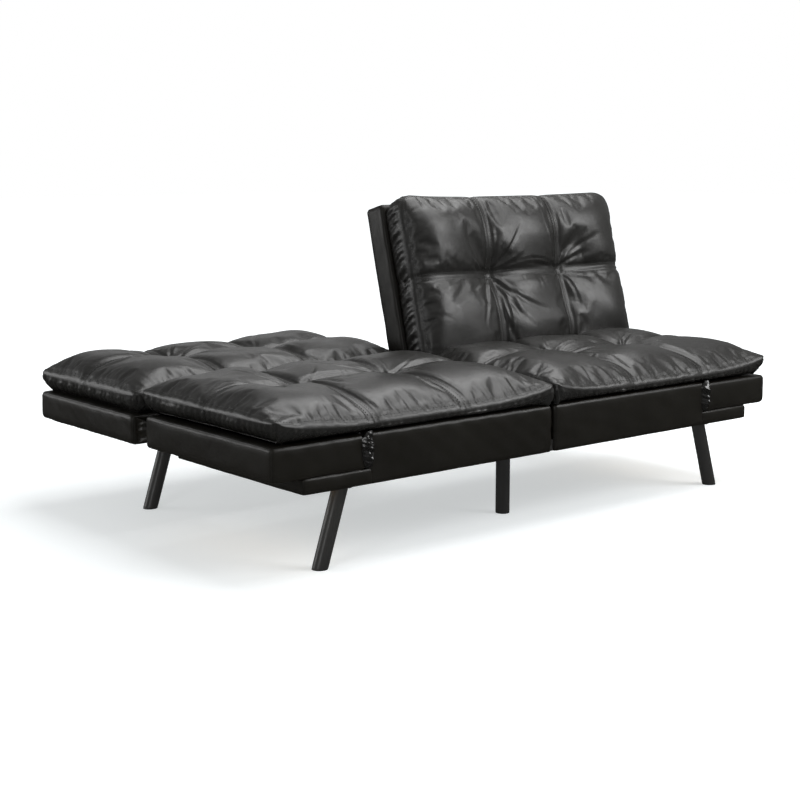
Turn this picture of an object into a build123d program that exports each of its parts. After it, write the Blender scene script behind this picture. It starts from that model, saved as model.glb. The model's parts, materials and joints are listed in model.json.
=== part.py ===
"""Split-back futon sofa bed: two seat halves on one steel base, each with its own
click-clack back and its own hinged arm panel.

The model is drawn with X to the right, Y from the base's front face to the back and
Z up from the floor, in millimetres.  On export it is moved so that the origin lies
on the floor under the middle of the whole outline.  The left back lies flat and the
right back stands up.
"""
from build123d import *
import os
from math import atan, degrees, radians, tan

# ---- driving dimensions, millimetres and degrees ----
WIDTH = 1829.0
HALF_GAP = 8.0
SEAT_OUTER_X = 630.0
SEAT_DEPTH = 560.0
BASE_BOTTOM_Z = 206.0
BOX_TOP_Z = 330.0
LEDGE_OUTER_X = 825.0
LEDGE_TOP_Z = 245.0
ARM_INNER_X = 640.0
ARM_BOTTOM_Z = 245.4
ARM_TOP_Z = 326.0
BACK_INNER_X = 10.0
BACK_NEAR_U = 24.0
BACK_FAR_U = 550.0
BACK_LOW_V = -65.0
BACK_TOP_V = 7.0
HINGE_Y = 616.0
HINGE_Z = 309.0
UPRIGHT_DEG = 75.5
PAD_THICK = 100.0
PAD_FRONT_Y = -10.0
PAD_FAR_U = 568.0
SKIN = 2.5
CORNER_R = 5.0
PAD_R = 28.0
GAP = 0.5

LEG_R = 20.0
LEG_WALL = 1.8
LEG_SPREAD = 0.324
LEG_TOP_X = 673.0
FRONT_LEG_Y = 56.0
REAR_LEG_Y = 870.0
CENTRE_LEG_Y = 193.0

RAIL_WIDE = 40.0
RAIL_LOW_WIDE = 30.0
RAIL_HIGH = 30.0
RAIL_WALL = 2.0
RAIL_REAR_Y = 914.0
RAIL_FRONT_Y = 5.0

BOARD = 18.0
PLATE = 3.0
BOLT_R = 4.0
SCREW_R = 2.5
HOLE_CLEAR = 0.1
HINGE_X = (60.0, 600.0)
ARM_AXIS_X = 635.0
ARM_AXIS_Z = 326.0

HALF_WIDTH = WIDTH / 2
REAR_Y = HINGE_Y + PAD_FAR_U
MIDDLE_Y = (PAD_FRONT_Y + REAR_Y) / 2
SIDES = {"left": -1, "right": 1}


# ---- helpers ----
def block(x, y, z):
    """A box from three (low, high) spans."""
    size = (x[1] - x[0], y[1] - y[0], z[1] - z[0])
    middle = ((x[0] + x[1]) / 2, (y[0] + y[1]) / 2, (z[0] + z[1]) / 2)
    return Pos(*middle) * Box(*size)


def rod(radius, start, end):
    """A round bar between two points."""
    start, end = Vector(*start), Vector(*end)
    plane = Plane(origin=start, z_dir=end - start)
    return extrude(plane * Circle(radius), amount=(end - start).length)


def on_side(shape, side):
    """A part drawn on the right, kept there or mirrored to the left."""
    return shape if SIDES[side] > 0 else mirror(shape, about=Plane.YZ)


def group(shapes):
    """Separate solids kept together in one node."""
    return Compound(children=[solid for shape in shapes for solid in shape.solids()])


def save(name, shape):
    """Write one node, with the origin on the floor under the middle of the outline."""
    placed = Pos(0, -MIDDLE_Y, 0) * shape
    export_step(placed, f"parts/{name}.step")


def soft_box(x, y, z, radius):
    """An upholstered box with all its edges rounded."""
    box = block(x, y, z)
    return fillet(box.edges(), radius)


def inset(span, amount):
    """A span made shorter by the same amount at both ends."""
    return (span[0] + amount, span[1] - amount)


# ---- steel base frame ----
def rail(x, y, z, along):
    """A rectangular steel tube, open at both ends, running along one axis."""
    core = [inset(span, RAIL_WALL) for span in (x, y, z)]
    core[along] = (x, y, z)[along]
    return block(x, y, z) - block(*core)


def rail_z():
    return (BASE_BOTTOM_Z, BASE_BOTTOM_Z + RAIL_HIGH)


def side_rail():
    """The long right-hand rail that carries the front and the rear leg."""
    x = (LEG_TOP_X - RAIL_WIDE / 2, LEG_TOP_X + RAIL_WIDE / 2)
    tube = rail(x, (RAIL_FRONT_Y, RAIL_REAR_Y), rail_z(), 1)
    for y in (FRONT_LEG_Y, REAR_LEG_Y):
        tube -= leg_bolt_holes(LEG_TOP_X, y)
    return tube


def cross_rail(front_y):
    """A rail between the two side rails."""
    reach = LEG_TOP_X - RAIL_WIDE / 2
    return rail((-reach, reach), (front_y, front_y + RAIL_LOW_WIDE), rail_z(), 0)


def centre_rail():
    """The short rail under the split, which carries the centre leg."""
    half = RAIL_WIDE / 2
    y = (RAIL_FRONT_Y + RAIL_LOW_WIDE, SEAT_DEPTH - RAIL_FRONT_Y - RAIL_LOW_WIDE)
    tube = rail((-half, half), y, rail_z(), 1)
    return tube - leg_bolt_holes(0, CENTRE_LEG_Y)


# ---- legs ----
BOLT_REACH = 32.0
BOLT_LENGTH = 12.0
HEAD_R = 6.5
HEAD_HIGH = 5.0
FOOT_HIGH = 6.0


def leg_bolt_shanks(x, y, radius):
    """The two bolt shanks above one leg plate."""
    low = BASE_BOTTOM_Z - PLATE
    return [
        rod(radius, (x, y + dy, low), (x, y + dy, low + BOLT_LENGTH))
        for dy in (-BOLT_REACH, BOLT_REACH)
    ]


def leg_bolt_holes(x, y):
    """The clearance holes for those bolts."""
    return leg_bolt_shanks(x, y, BOLT_R + HOLE_CLEAR)


def leg_bolts(x, y):
    """The two hexagon bolts of one leg plate."""
    bolts = []
    low = BASE_BOTTOM_Z - PLATE
    for shank, dy in zip(leg_bolt_shanks(x, y, BOLT_R), (-BOLT_REACH, BOLT_REACH)):
        head = Pos(x, y + dy, low - HEAD_HIGH) * extrude(RegularPolygon(HEAD_R, 6), HEAD_HIGH)
        bolts.append(shank + head)
    return bolts


def leg_core(x, y, spread, radius):
    """A long slanted round bar along a leg's centre line."""
    beyond = 30.0
    top = BASE_BOTTOM_Z + beyond
    low_x = x + spread * (BASE_BOTTOM_Z + beyond)
    return rod(radius, (low_x, y, -beyond), (x - spread * beyond, y, top))


def level_slice(shape, low, high):
    """The part of a shape between two levels."""
    wide = 2 * WIDTH
    return shape & block((-wide, wide), (-wide, wide), (low, high))


def leg(x, y, spread):
    """A round steel tube welded under a flat plate, cut level at the floor end."""
    plate_half = (RAIL_WIDE / 2 + 4, BOLT_REACH + 12)
    low = BASE_BOTTOM_Z - PLATE
    tube = level_slice(leg_core(x, y, spread, LEG_R), FOOT_HIGH, low)
    bore = level_slice(leg_core(x, y, spread, LEG_R - LEG_WALL), FOOT_HIGH, low)
    plate = block(
        (x - plate_half[0], x + plate_half[0]),
        (y - plate_half[1], y + plate_half[1]),
        (low, BASE_BOTTOM_Z),
    )
    return tube - bore + plate - leg_bolt_holes(x, y)


def glide(x, y, spread):
    """A plastic foot plugged into the tube's open end."""
    plug_high = 24.0
    foot = level_slice(leg_core(x, y, spread, LEG_R - 0.3), 0, FOOT_HIGH)
    plug = level_slice(leg_core(x, y, spread, LEG_R - LEG_WALL - HOLE_CLEAR), FOOT_HIGH, plug_high)
    return foot + plug


LEGS = {
    "front_left": (-LEG_TOP_X, FRONT_LEG_Y, -LEG_SPREAD),
    "front_right": (LEG_TOP_X, FRONT_LEG_Y, LEG_SPREAD),
    "rear_left": (-LEG_TOP_X, REAR_LEG_Y, -LEG_SPREAD),
    "rear_right": (LEG_TOP_X, REAR_LEG_Y, LEG_SPREAD),
    "centre": (0.0, CENTRE_LEG_Y, 0.0),
}


# ---- seat halves ----
DECK = 3.0
BOARD_TOP_Z = 318.0
SEAT_X = (HALF_GAP, SEAT_OUTER_X)


def seat_casing():
    """Upholstered tray: full front and rear walls, shorter side walls and a deck."""
    outer = block(SEAT_X, (0, SEAT_DEPTH), (BASE_BOTTOM_Z, BOX_TOP_Z))
    outer = fillet(outer.edges().filter_by(Axis.Z) + outer.edges().group_by(Axis.Z)[-1], CORNER_R)
    y = inset((0, SEAT_DEPTH), SKIN)
    low = BASE_BOTTOM_Z - 1
    hollow = block(inset(SEAT_X, SKIN), y, (low, BOX_TOP_Z - DECK))
    under_sides = block(inset(SEAT_X, -1), y, (low, LEDGE_TOP_Z))
    return outer - hollow - under_sides - bracket_holes("seat")


def seat_frame():
    """Four boards screwed into a ring on top of the steel rails."""
    x = inset(SEAT_X, SKIN)
    y = inset((0, SEAT_DEPTH), SKIN)
    z = (BASE_BOTTOM_Z + RAIL_HIGH, BOARD_TOP_Z)
    boards = [
        block(x, (y[0], y[0] + BOARD), z),
        block(x, (y[1] - BOARD, y[1]), z) - bracket_holes("seat"),
        block((x[0], x[0] + BOARD), inset(y, BOARD), z),
        block((x[1] - BOARD, x[1]), inset(y, BOARD), z),
    ]
    return boards


def zigzag_spring(x):
    """A sinuous steel spring lying across the frame, from front board to rear board."""
    wire_r, pitch, swing, turns = 1.8, 24.7, 50.0, 22
    start_y = (SEAT_DEPTH - pitch * (turns - 1)) / 2
    points = []
    for turn in range(turns):
        ends = (0, swing) if turn % 2 == 0 else (swing, 0)
        points += [(end - swing / 2, start_y + turn * pitch) for end in ends]
    path = FilletPolyline(*points, radius=pitch / 2 - 1)
    level = BOARD_TOP_Z + wire_r
    path = Pos(x, 0, level) * path
    profile = Plane(origin=path @ 0, z_dir=path % 0) * Circle(wire_r)
    return sweep(profile, path=path)


def seat_springs():
    """Four zigzag springs for one seat half."""
    count = 4
    step = (SEAT_OUTER_X - HALF_GAP) / (count + 1)
    first = zigzag_spring(HALF_GAP + step)
    return [Pos(step * place, 0, 0) * first for place in range(count)]


def dust_cover():
    """A thin cloth closing the underside between the rails."""
    y = (RAIL_FRONT_Y + RAIL_LOW_WIDE, SEAT_DEPTH - RAIL_FRONT_Y - RAIL_LOW_WIDE)
    x = (RAIL_WIDE / 2, SEAT_OUTER_X - SKIN)
    return block(x, y, (BASE_BOTTOM_Z, BASE_BOTTOM_Z + 1))


# ---- ledge under each arm panel ----
def ledge_cover():
    """Leather wrap of the ledge: top, front, rear and end, open below and inboard."""
    x = (SEAT_OUTER_X + GAP, LEDGE_OUTER_X)
    y = (0, SEAT_DEPTH)
    wrap = block(x, y, (BASE_BOTTOM_Z, LEDGE_TOP_Z))
    wrap = fillet(wrap.edges().filter_by(Axis.Z).group_by(Axis.X)[-1], CORNER_R)
    hollow = block((x[0] - 1, x[1] - SKIN), inset(y, SKIN), (BASE_BOTTOM_Z - 1, LEDGE_TOP_Z - SKIN))
    rail_half = RAIL_WIDE / 2 + GAP
    notch = block(
        (LEG_TOP_X - rail_half, LEG_TOP_X + rail_half),
        (SEAT_DEPTH - 2 * SKIN, SEAT_DEPTH + 1),
        (BASE_BOTTOM_Z - 1, BASE_BOTTOM_Z + RAIL_HIGH + GAP),
    )
    return wrap - hollow - notch


def ledge_board():
    """Solid board outboard of the side rail, inside the ledge's leather."""
    x = (LEG_TOP_X + RAIL_WIDE / 2, LEDGE_OUTER_X - SKIN)
    board = block(x, inset((0, SEAT_DEPTH), SKIN), (BASE_BOTTOM_Z, LEDGE_TOP_Z - SKIN))
    return fillet(board.edges().filter_by(Axis.Z).group_by(Axis.X)[-1], CORNER_R)


# ---- cushions ----
SEAT_FOLD_DEG = 40.0
ARM_FOLD_DEG = 41.0


def prism(points, plane, length):
    """A straight prism over a closed outline, from the plane along its normal."""
    outline = make_face(Polyline(*points, close=True))
    return extrude(plane * outline, amount=length)


def wedge(span, level, lean_low, lean_high, y, shrink, radius):
    """A cushion along Y whose ends lean inward, made smaller all round by shrink."""
    top = PAD_THICK - shrink
    rise = top - shrink
    low_x, high_x = span[0] + shrink, span[1] - shrink
    points = [
        (low_x, level + shrink),
        (high_x, level + shrink),
        (high_x - rise * tan(radians(lean_high)), level + top),
        (low_x + rise * tan(radians(lean_low)), level + top),
    ]
    front, rear = inset(y, shrink)
    solid = prism(points, Plane(origin=(0, rear, 0), x_dir=(1, 0, 0), z_dir=(0, -1, 0)), rear - front)
    return fillet(solid.edges().group_by(Axis.Z)[-1], radius)


def seat_cushion(shrink, radius):
    """The seat cushion of one half, leaning away from the arm's hinge line."""
    span = (HALF_GAP, ARM_AXIS_X - 3)
    y = (PAD_FRONT_Y, SEAT_DEPTH - 2)
    return wedge(span, BOX_TOP_Z + GAP, 0, SEAT_FOLD_DEG, y, shrink, radius)


def arm_cushion(shrink, radius):
    """The outer part of the seat cushion, which lifts with the arm panel."""
    span = (ARM_INNER_X, HALF_WIDTH - 2)
    y = (PAD_FRONT_Y, SEAT_DEPTH - 4)
    return wedge(span, ARM_TOP_Z + GAP, ARM_FOLD_DEG, 0, y, shrink, radius)


def back_cushion(shrink, radius):
    """The back cushion lying flat, thinned at the hinge end so that it can fold up."""
    low_u, high_u = BACK_NEAR_U + 2 + shrink, PAD_FAR_U - shrink
    low_v = BACK_TOP_V + GAP + shrink
    top_v = BACK_TOP_V + PAD_THICK - shrink
    near_v = 58.0 - shrink
    full_u = 256.0
    points = [
        (HINGE_Y + low_u, HINGE_Z + low_v),
        (HINGE_Y + high_u, HINGE_Z + low_v),
        (HINGE_Y + high_u, HINGE_Z + top_v),
        (HINGE_Y + full_u, HINGE_Z + top_v),
        (HINGE_Y + low_u, HINGE_Z + near_v),
    ]
    x = inset((BACK_INNER_X, HALF_WIDTH - 2), shrink)
    solid = prism(points, Plane(origin=(x[0], 0, 0), x_dir=(0, 1, 0), z_dir=(1, 0, 0)), x[1] - x[0])
    return fillet(solid.edges().group_by(Axis.Z)[-1].sort_by(Axis.Y)[1:], radius)


COVER = 2.0


def cover(cushion):
    """The leather cover of a cushion: a closed skin."""
    return cushion(0, PAD_R) - cushion(COVER, PAD_R - COVER)


def foam(cushion):
    """The foam core, just clear of the cover around it."""
    clear = COVER + 0.1
    return cushion(clear, PAD_R - clear)


# ---- arm panels ----
ARM_X = (ARM_INNER_X, HALF_WIDTH)
ARM_Z = (ARM_BOTTOM_Z, ARM_TOP_Z)


def arm_casing():
    """Closed upholstered skin of the arm panel."""
    outer = soft_box(ARM_X, (0, SEAT_DEPTH), ARM_Z, CORNER_R)
    return outer - block(inset(ARM_X, SKIN), inset((0, SEAT_DEPTH), SKIN), inset(ARM_Z, SKIN))


def arm_frame():
    """Ring of boards with a middle batten inside the arm panel."""
    x, y, z = inset(ARM_X, SKIN), inset((0, SEAT_DEPTH), SKIN), inset(ARM_Z, SKIN)
    middle = SEAT_DEPTH / 2
    inner_x = (x[0] + BOARD, x[1] - BOARD)
    return [
        block((x[0], x[0] + BOARD), y, z),
        block((x[1] - BOARD, x[1]), y, z),
        block(inner_x, (y[0], y[0] + BOARD), z),
        block(inner_x, (y[1] - BOARD, y[1]), z),
        block(inner_x, (middle - BOARD / 2, middle + BOARD / 2), z),
    ]


# ---- arm hinge: a long piano hinge between seat and arm panel ----
LEAF = 1.5
LEAF_LOW_Z = 290.0
BARREL_R = 4.0
ARM_PIN_R = 1.5
RUNNING = 0.05
KNUCKLES = 9
HINGE_Y_SPAN = (30.0, 530.0)


def knuckle_spans(first):
    """Every second knuckle along the hinge, with a small end gap."""
    pitch = (HINGE_Y_SPAN[1] - HINGE_Y_SPAN[0]) / KNUCKLES
    starts = [HINGE_Y_SPAN[0] + pitch * place for place in range(first, KNUCKLES, 2)]
    return [(start + 0.25, start + pitch - 0.25) for start in starts]


def hinge_leaf(wall_x, inward, first):
    """One leaf against a casing wall, with its knuckles around the arm's axis."""
    leaf_x = sorted((wall_x, wall_x + inward * LEAF))
    root_z = ARM_AXIS_Z - BARREL_R - 1
    leaf = block(leaf_x, HINGE_Y_SPAN, (LEAF_LOW_Z, root_z))
    web_x = sorted((wall_x, wall_x + inward * (LEAF + 1)))
    for y in knuckle_spans(first):
        leaf += block(web_x, y, (root_z - 1, ARM_AXIS_Z))
        leaf += rod(BARREL_R, (ARM_AXIS_X, y[0], ARM_AXIS_Z), (ARM_AXIS_X, y[1], ARM_AXIS_Z))
    bore_r = ARM_PIN_R + RUNNING
    ends = [(ARM_AXIS_X, y, ARM_AXIS_Z) for y in HINGE_Y_SPAN]
    return leaf - rod(bore_r, *ends)


def arm_pin():
    """The hinge's long pin."""
    ends = [(ARM_AXIS_X, y, ARM_AXIS_Z) for y in HINGE_Y_SPAN]
    return rod(ARM_PIN_R, *ends)


# ---- backs, drawn lying flat on the right ----
BACK_X = (BACK_INNER_X, HALF_WIDTH)
BACK_Y = (HINGE_Y + BACK_NEAR_U, HINGE_Y + BACK_FAR_U)
BACK_Z = (HINGE_Z + BACK_LOW_V, HINGE_Z + BACK_TOP_V)


def pose_back(shape, side):
    """Put a back part on its side: the left one lies flat, the right one stands up."""
    if side == "left":
        return mirror(shape, about=Plane.YZ)
    axis = Axis((0, HINGE_Y, HINGE_Z), (1, 0, 0))
    return shape.rotate(axis, UPRIGHT_DEG)


def back_casing():
    """Closed upholstered skin of one back."""
    outer = soft_box(BACK_X, BACK_Y, BACK_Z, CORNER_R)
    hollow = block(inset(BACK_X, SKIN), inset(BACK_Y, SKIN), inset(BACK_Z, SKIN))
    return outer - hollow - bracket_holes("back")


def back_frame():
    """Ring of boards with two battens inside one back."""
    x, y, z = inset(BACK_X, SKIN), inset(BACK_Y, SKIN), inset(BACK_Z, SKIN)
    rails = [
        block(x, (y[0], y[0] + BOARD), z) - bracket_holes("back"),
        block(x, (y[1] - BOARD, y[1]), z),
    ]
    bays = 3
    step = (x[1] - x[0] - BOARD) / bays
    stiles = [
        block((x[0] + step * n, x[0] + step * n + BOARD), inset(y, BOARD), z) for n in range(bays + 1)
    ]
    return rails + stiles


# ---- click-clack hinge: a fixed clevis on the seat and a notched ear on the back ----
EAR_R = 13.0
EAR_THICK = 4.0
EAR_SIDE_GAP = 0.3
FIXED_EAR = 3.0
FLANGE = 3.0
FLANGE_HALF = 16.0
BACK_PIN_R = 5.0
PIN_CLEAR = 0.02
FIXED_FLANGE_Z = (262.0, 322.0)
MOVING_FLANGE_Z = (258.0, 313.0)
SCREW_LONG = 14.0
SCREW_HEAD_R = 4.5
SCREW_HEAD_HIGH = 2.0


def hinge_disc(x0, x1, radius):
    """A disc about the back's hinge axis."""
    return rod(radius, (x0, HINGE_Y, HINGE_Z), (x1, HINGE_Y, HINGE_Z))


def fixed_bracket(x):
    """Clevis: a flange on the seat's rear wall with two ears that hold the pin."""
    wall = SEAT_DEPTH
    bracket = block((x - FLANGE_HALF, x + FLANGE_HALF), (wall, wall + FLANGE), FIXED_FLANGE_Z)
    near = EAR_THICK / 2 + EAR_SIDE_GAP
    for span in ((near, near + FIXED_EAR), (-near - FIXED_EAR, -near)):
        ear_x = (x + span[0], x + span[1])
        ear = block(ear_x, (wall, HINGE_Y), (HINGE_Z - EAR_R, HINGE_Z + EAR_R))
        bracket += ear + hinge_disc(*ear_x, EAR_R)
    reach = near + FIXED_EAR + 1
    bore = hinge_disc(x - reach, x + reach, BACK_PIN_R + PIN_CLEAR)
    return bracket - bore - bracket_holes("seat")


def moving_bracket(x):
    """A flange on the back's lower end with one notched ear between the clevis ears."""
    end = BACK_Y[0]
    bracket = block((x - FLANGE_HALF, x + FLANGE_HALF), (end - FLANGE, end), MOVING_FLANGE_Z)
    ear_x = (x - EAR_THICK / 2, x + EAR_THICK / 2)
    bracket += block(ear_x, (HINGE_Y, end - FLANGE), (HINGE_Z - EAR_R, HINGE_Z + BACK_TOP_V))
    bracket += hinge_disc(*ear_x, EAR_R)
    notch_r = 1.6
    for turn in (180, 205, 230, 255):
        spot = Vector(0, EAR_R, 0).rotate(Axis.X, turn) + Vector(0, HINGE_Y, HINGE_Z)
        ends = [(edge, spot.Y, spot.Z) for edge in (ear_x[0] - 1, ear_x[1] + 1)]
        bracket -= rod(notch_r, *ends)
    bore = hinge_disc(ear_x[0] - 1, ear_x[1] + 1, BACK_PIN_R + RUNNING)
    return bracket - bore - bracket_holes("back")


def back_pin(x):
    """A riveted pin through the clevis."""
    near = EAR_THICK / 2 + EAR_SIDE_GAP + FIXED_EAR
    head_r, head_high = 7.5, 2.5
    pin = hinge_disc(x - near - head_high, x + near + head_high, BACK_PIN_R)
    for span in ((near, near + head_high), (-near - head_high, -near)):
        pin += hinge_disc(x + span[0], x + span[1], head_r)
    return pin


def click_spring(x):
    """The leaf spring under the notched ear, bent up from the clevis flange."""
    thick, half = 1.0, EAR_THICK / 2
    wall = SEAT_DEPTH + FLANGE
    level = HINGE_Z - EAR_R - 2
    upright = block((x - half, x + half), (wall, wall + thick), (level - 24, level))
    tongue = block((x - half, x + half), (wall, HINGE_Y + 4), (level - thick, level))
    return upright + tongue


def screw_spots(part):
    """Where each bracket screw of one half enters, and which way along Y it points."""
    face, way = (SEAT_DEPTH + FLANGE, -1) if part == "seat" else (BACK_Y[0] - FLANGE, 1)
    spots = [
        (x + dx, z)
        for x in HINGE_X
        for dx in (-10.5, 10.5)
        for z in (FIXED_FLANGE_Z[0] + 8, FIXED_FLANGE_Z[0] + 26)
    ]
    return face, way, spots


def bracket_screws(part):
    """The screws of both brackets, in the seat's rear wall or the back's lower end."""
    face, way, spots = screw_spots(part)
    shanks = [rod(SCREW_R, (x, face, z), (x, face + way * SCREW_LONG, z)) for x, z in spots]
    heads = [
        rod(SCREW_HEAD_R, (x, face - way * SCREW_HEAD_HIGH, z), (x, face, z)) for x, z in spots
    ]
    return [shank + head for shank, head in zip(shanks, heads)]


def bracket_holes(part):
    """The holes that those screws stand in."""
    face, way, spots = screw_spots(part)
    radius = SCREW_R + HOLE_CLEAR
    return [rod(radius, (x, face, z), (x, face + way * (SCREW_LONG + 1), z)) for x, z in spots]


# ---- the whole sofa bed ----
def save_base():
    rear_rail_y = SEAT_DEPTH - RAIL_FRONT_Y - RAIL_LOW_WIDE
    save("front_rail", cross_rail(RAIL_FRONT_Y))
    save("rear_rail", cross_rail(rear_rail_y))
    save("centre_rail", centre_rail())
    for place, spot in LEGS.items():
        save(f"leg_{place}", leg(*spot))
        save(f"glide_{place}", glide(*spot))
    save("leg_bolts", group([bolt for x, y, _ in LEGS.values() for bolt in leg_bolts(x, y)]))


def save_seat(side):
    save(f"{side}_side_rail", on_side(side_rail(), side))
    save(f"{side}_seat_casing", on_side(seat_casing(), side))
    save(f"{side}_seat_frame", group([on_side(board, side) for board in seat_frame()]))
    save(f"{side}_ledge_cover", on_side(ledge_cover(), side))
    save(f"{side}_seat_cover", on_side(cover(seat_cushion), side))
    save(f"{side}_seat_foam", on_side(foam(seat_cushion), side))
    save(f"{side}_arm_fixed_leaf", on_side(hinge_leaf(SEAT_OUTER_X, 1, 0), side))
    for place, x in zip(("inner", "outer"), HINGE_X):
        save(f"{side}_{place}_fixed_bracket", on_side(fixed_bracket(x), side))


def save_shared():
    """Small parts that both halves use, one node for each kind."""
    def both(shapes):
        return group([on_side(shape, side) for side in SIDES for shape in shapes])

    save("ledge_boards", both([ledge_board()]))
    save("seat_springs", both(seat_springs()))
    save("dust_covers", both([dust_cover()]))
    save("hinge_pins", both([back_pin(x) for x in HINGE_X] + [arm_pin()]))
    save("click_springs", both([click_spring(x) for x in HINGE_X]))
    save("seat_bracket_screws", both(bracket_screws("seat")))


def save_arm(side):
    save(f"{side}_arm_casing", on_side(arm_casing(), side))
    save(f"{side}_arm_frame", group([on_side(board, side) for board in arm_frame()]))
    save(f"{side}_arm_cover", on_side(cover(arm_cushion), side))
    save(f"{side}_arm_foam", on_side(foam(arm_cushion), side))
    save(f"{side}_arm_moving_leaf", on_side(hinge_leaf(ARM_INNER_X, -1, 1), side))


def save_back(side):
    save(f"{side}_back_casing", pose_back(back_casing(), side))
    save(f"{side}_back_frame", group([pose_back(board, side) for board in back_frame()]))
    save(f"{side}_back_cover", pose_back(cover(back_cushion), side))
    save(f"{side}_back_foam", pose_back(foam(back_cushion), side))
    brackets = group([pose_back(moving_bracket(x), side) for x in HINGE_X])
    save(f"{side}_back_brackets", brackets)
    screws = group([pose_back(screw, side) for screw in bracket_screws("back")])
    save(f"{side}_bracket_screws", screws)


os.makedirs("parts", exist_ok=True)
save_base()
save_shared()
for side_name in SIDES:
    save_seat(side_name)
    save_arm(side_name)
    save_back(side_name)
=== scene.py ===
"""Looks of the split-back futon sofa bed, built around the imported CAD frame.  Metres."""
import json
import math

import bmesh
import bpy
import numpy as np
from mathutils import Matrix, Vector


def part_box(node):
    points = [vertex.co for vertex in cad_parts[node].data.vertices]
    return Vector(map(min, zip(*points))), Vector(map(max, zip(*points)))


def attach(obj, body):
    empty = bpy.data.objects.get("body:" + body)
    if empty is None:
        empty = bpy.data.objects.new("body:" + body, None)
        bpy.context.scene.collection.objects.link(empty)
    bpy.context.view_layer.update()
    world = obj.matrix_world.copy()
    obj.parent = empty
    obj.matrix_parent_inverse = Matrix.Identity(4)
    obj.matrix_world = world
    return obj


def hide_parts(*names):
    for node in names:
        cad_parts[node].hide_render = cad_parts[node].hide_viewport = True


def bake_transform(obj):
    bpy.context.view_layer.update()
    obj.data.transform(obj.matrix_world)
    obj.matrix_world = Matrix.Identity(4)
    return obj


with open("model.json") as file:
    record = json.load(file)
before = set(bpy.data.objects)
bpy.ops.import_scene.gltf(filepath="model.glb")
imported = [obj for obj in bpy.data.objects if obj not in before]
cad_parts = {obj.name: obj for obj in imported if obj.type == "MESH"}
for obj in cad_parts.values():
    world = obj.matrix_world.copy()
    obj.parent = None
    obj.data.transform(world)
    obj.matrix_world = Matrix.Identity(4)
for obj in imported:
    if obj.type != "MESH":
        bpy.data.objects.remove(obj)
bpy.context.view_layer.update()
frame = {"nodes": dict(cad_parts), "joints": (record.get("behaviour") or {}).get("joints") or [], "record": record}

SIDES = {"left": -1.0, "right": 1.0}
JOINTS = {joint["name"]: joint for joint in frame["joints"]}
HINGE = Vector(JOINTS["right_back_recline"]["pos_m"])
ARM_AXIS = Vector(JOINTS["right_arm_raise"]["pos_m"])
UPRIGHT = -math.radians(JOINTS["right_back_recline"]["range_deg"][0])

SEAT_LOW, SEAT_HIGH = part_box("right_seat_casing")
ARM_LOW, ARM_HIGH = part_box("right_arm_casing")
BACK_LOW, BACK_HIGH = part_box("left_back_casing")
WADDING = 0.003
BACK_WADDING = 0.005
ARM_REAR_SWELL = 0.009
LEDGE_INTO_SEAT = 0.007


# ---------------------------------------------------------------- mesh helpers
def make_object(name, points, faces, smooth=True):
    """A mesh object from plain lists, linked to the scene."""
    mesh = bpy.data.meshes.new(name)
    rows = [tuple(map(float, point)) for point in points]
    mesh.from_pydata(rows, [], [tuple(map(int, face)) for face in faces])
    mesh.validate()
    for polygon in mesh.polygons:
        polygon.use_smooth = smooth
    made = bpy.data.objects.new(name, mesh)
    bpy.context.scene.collection.objects.link(made)
    return made


def grid_faces(rows, columns):
    """Quads of a grid whose points are listed row by row."""
    return [(i * columns + j, (i + 1) * columns + j, (i + 1) * columns + j + 1, i * columns + j + 1)
            for i in range(rows - 1) for j in range(columns - 1)]


def apply_modifiers(piece):
    """Turn the piece's modifiers into its own mesh."""
    graph = bpy.context.evaluated_depsgraph_get()
    mesh = bpy.data.meshes.new_from_object(piece.evaluated_get(graph))
    piece.modifiers.clear()
    piece.data = mesh
    for polygon in mesh.polygons:
        polygon.use_smooth = True


def waves(u, rng, shortest, longest, count=5):
    """A smooth irregular wave along one coordinate, about -1 to 1."""
    total = np.zeros_like(u)
    for _ in range(count):
        length = rng.uniform(shortest, longest)
        total += np.sin(2 * np.pi * u / length + rng.uniform(0, 2 * np.pi))
    return total / math.sqrt(count)


def folds(u, rng, shortest, longest):
    """Irregular leather folds along one coordinate: broad hills, narrow valleys, 0 to 1."""
    wave = waves(u, rng, shortest, longest, 3)
    return 1 - np.abs(np.tanh(1.3 * wave))


def flow(x, y, rng, shortest, longest, count=6):
    """A smooth irregular field over a surface, about -1 to 1."""
    total = np.zeros_like(x)
    for _ in range(count):
        turn = rng.uniform(0, 2 * np.pi)
        length = rng.uniform(shortest, longest)
        along = x * math.cos(turn) + y * math.sin(turn)
        total += np.sin(2 * np.pi * along / length + rng.uniform(0, 2 * np.pi))
    return total / math.sqrt(count)


# ---------------------------------------------------------------- materials
def new_material(name, colour, roughness, metallic=0.0, specular=0.5):
    """A principled material; returns it with its node tree and shader."""
    material = bpy.data.materials.new(name)
    material.use_nodes = True
    tree = material.node_tree
    shader = tree.nodes["Principled BSDF"]
    shader.inputs["Base Color"].default_value = (*colour, 1)
    shader.inputs["Roughness"].default_value = roughness
    shader.inputs["Metallic"].default_value = metallic
    shader.inputs["Specular IOR Level"].default_value = specular
    return material, tree, shader


def add_node(tree, kind, **settings):
    node = tree.nodes.new(kind)
    for key, value in settings.items():
        if key in node.inputs:
            node.inputs[key].default_value = value
        else:
            setattr(node, key, value)
    return node


def ramp(tree, source, low, high, low_out, high_out):
    """Map a texture value onto a range of numbers."""
    node = add_node(tree, "ShaderNodeMapRange")
    node.inputs["From Min"].default_value = low
    node.inputs["From Max"].default_value = high
    node.inputs["To Min"].default_value = low_out
    node.inputs["To Max"].default_value = high_out
    tree.links.new(source, node.inputs["Value"])
    return node.outputs["Result"]


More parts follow.
